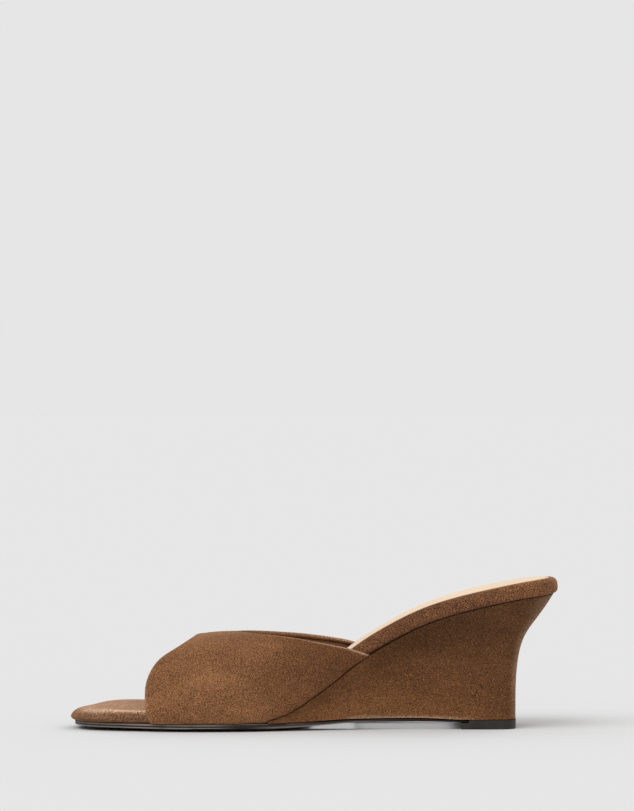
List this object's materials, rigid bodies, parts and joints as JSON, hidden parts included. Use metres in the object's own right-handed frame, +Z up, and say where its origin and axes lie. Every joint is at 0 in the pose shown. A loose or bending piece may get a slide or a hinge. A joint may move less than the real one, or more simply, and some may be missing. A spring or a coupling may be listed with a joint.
{
  "type": "wedge mule",
  "caption": "Open-toed slip-on mule for the right foot: suede vamp, padded footbed, covered wedge heel, thin dark outsole and top lift.",
  "frame": {"origin": "on the floor, under the middle of the shoe's bounding box", "axes": "+X from toe to heel, +Z up, -Y the inner side and +Y the outer side of a right foot"},
  "size_m": [0.2348, 0.0838, 0.072],
  "materials": {
    "vamp_suede": "fine-napped suede",
    "wedge_suede": "fine-napped suede over a light wedge",
    "footbed_suede": "fine-napped suede over foam and board",
    "sock_leather": "smooth pale lining leather",
    "sole_resin": "satin, with a burnished edge",
    "lift_rubber": "matt"
  },
  "bodies": {
    "root": {"outsole": "sole_resin", "top_lift": "lift_rubber", "wedge": "wedge_suede", "footbed": "footbed_suede", "sock_lining": "sock_leather", "upper": "vamp_suede"}
  },
  "joints": []
}
